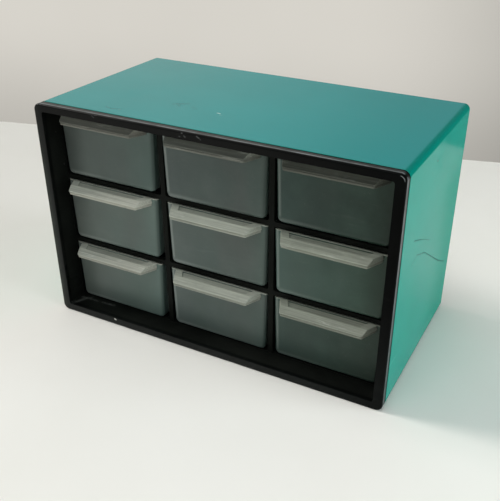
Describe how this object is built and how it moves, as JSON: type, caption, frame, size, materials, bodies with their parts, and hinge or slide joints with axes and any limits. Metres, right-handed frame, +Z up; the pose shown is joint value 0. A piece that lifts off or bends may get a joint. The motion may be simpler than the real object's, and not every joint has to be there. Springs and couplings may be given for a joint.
{
  "type": "parts organizer",
  "caption": "Small desktop parts organizer: a glossy casing with a black front frame and slide-out frosted drawers with pull lips.",
  "frame": {"origin": "middle of the base, at half the width and half the depth over the closed organizer", "axes": "+Z up, the drawers open towards -Y, +X to the right seen from the front"},
  "size_m": [0.17, 0.093, 0.107],
  "materials": {
    "casing_teal": "glossy moulded styrene, finely scuffed",
    "frame_black": "satin moulded plastic with worn front edges",
    "rack_black": "satin moulded plastic",
    "drawer_frosted": "frosted translucent plastic"
  },
  "bodies": {
    "cabinet": {"outer_casing": "casing_teal", "front_frame": "frame_black", "floor_tray": "rack_black", "lower_shelf": "rack_black", "upper_shelf": "rack_black", "left_partition": "rack_black", "right_partition": "rack_black"},
    "drawer_bottom_left": {"drawer_bottom_left": "drawer_frosted"},
    "drawer_bottom_middle": {"drawer_bottom_middle": "drawer_frosted"},
    "drawer_bottom_right": {"drawer_bottom_right": "drawer_frosted"},
    "drawer_middle_left": {"drawer_middle_left": "drawer_frosted"},
    "drawer_centre": {"drawer_centre": "drawer_frosted"},
    "drawer_middle_right": {"drawer_middle_right": "drawer_frosted"},
    "drawer_top_left": {"drawer_top_left": "drawer_frosted"},
    "drawer_top_middle": {"drawer_top_middle": "drawer_frosted"},
    "drawer_top_right": {"drawer_top_right": "drawer_frosted"}
  },
  "joints": [
    {"name": "bottom_left_slide", "type": "slide", "parent": "cabinet", "child": "drawer_bottom_left", "axis": [0, -1, 0], "range_m": [-0.0003, 0.0596]},
    {"name": "bottom_middle_slide", "type": "slide", "parent": "cabinet", "child": "drawer_bottom_middle", "axis": [0, -1, 0], "range_m": [-0.0004, 0.0595]},
    {"name": "bottom_right_slide", "type": "slide", "parent": "cabinet", "child": "drawer_bottom_right", "axis": [0, -1, 0], "range_m": [-0.0001, 0.0598]},
    {"name": "middle_left_slide", "type": "slide", "parent": "cabinet", "child": "drawer_middle_left", "axis": [0, -1, 0], "range_m": [-0.0003, 0.0596]},
    {"name": "centre_slide", "type": "slide", "parent": "cabinet", "child": "drawer_centre", "axis": [0, -1, 0], "range_m": [-0.0002, 0.0597]},
    {"name": "middle_right_slide", "type": "slide", "parent": "cabinet", "child": "drawer_middle_right", "axis": [0, -1, 0], "range_m": [-0.0006, 0.0593]},
    {"name": "top_left_slide", "type": "slide", "parent": "cabinet", "child": "drawer_top_left", "axis": [0, -1, 0], "range_m": [-0.0003, 0.0596]},
    {"name": "top_middle_slide", "type": "slide", "parent": "cabinet", "child": "drawer_top_middle", "axis": [0, -1, 0], "range_m": [-0.0012, 0.0587]},
    {"name": "top_right_slide", "type": "slide", "parent": "cabinet", "child": "drawer_top_right", "axis": [0, -1, 0], "range_m": [-0.0003, 0.0596]}
  ]
}
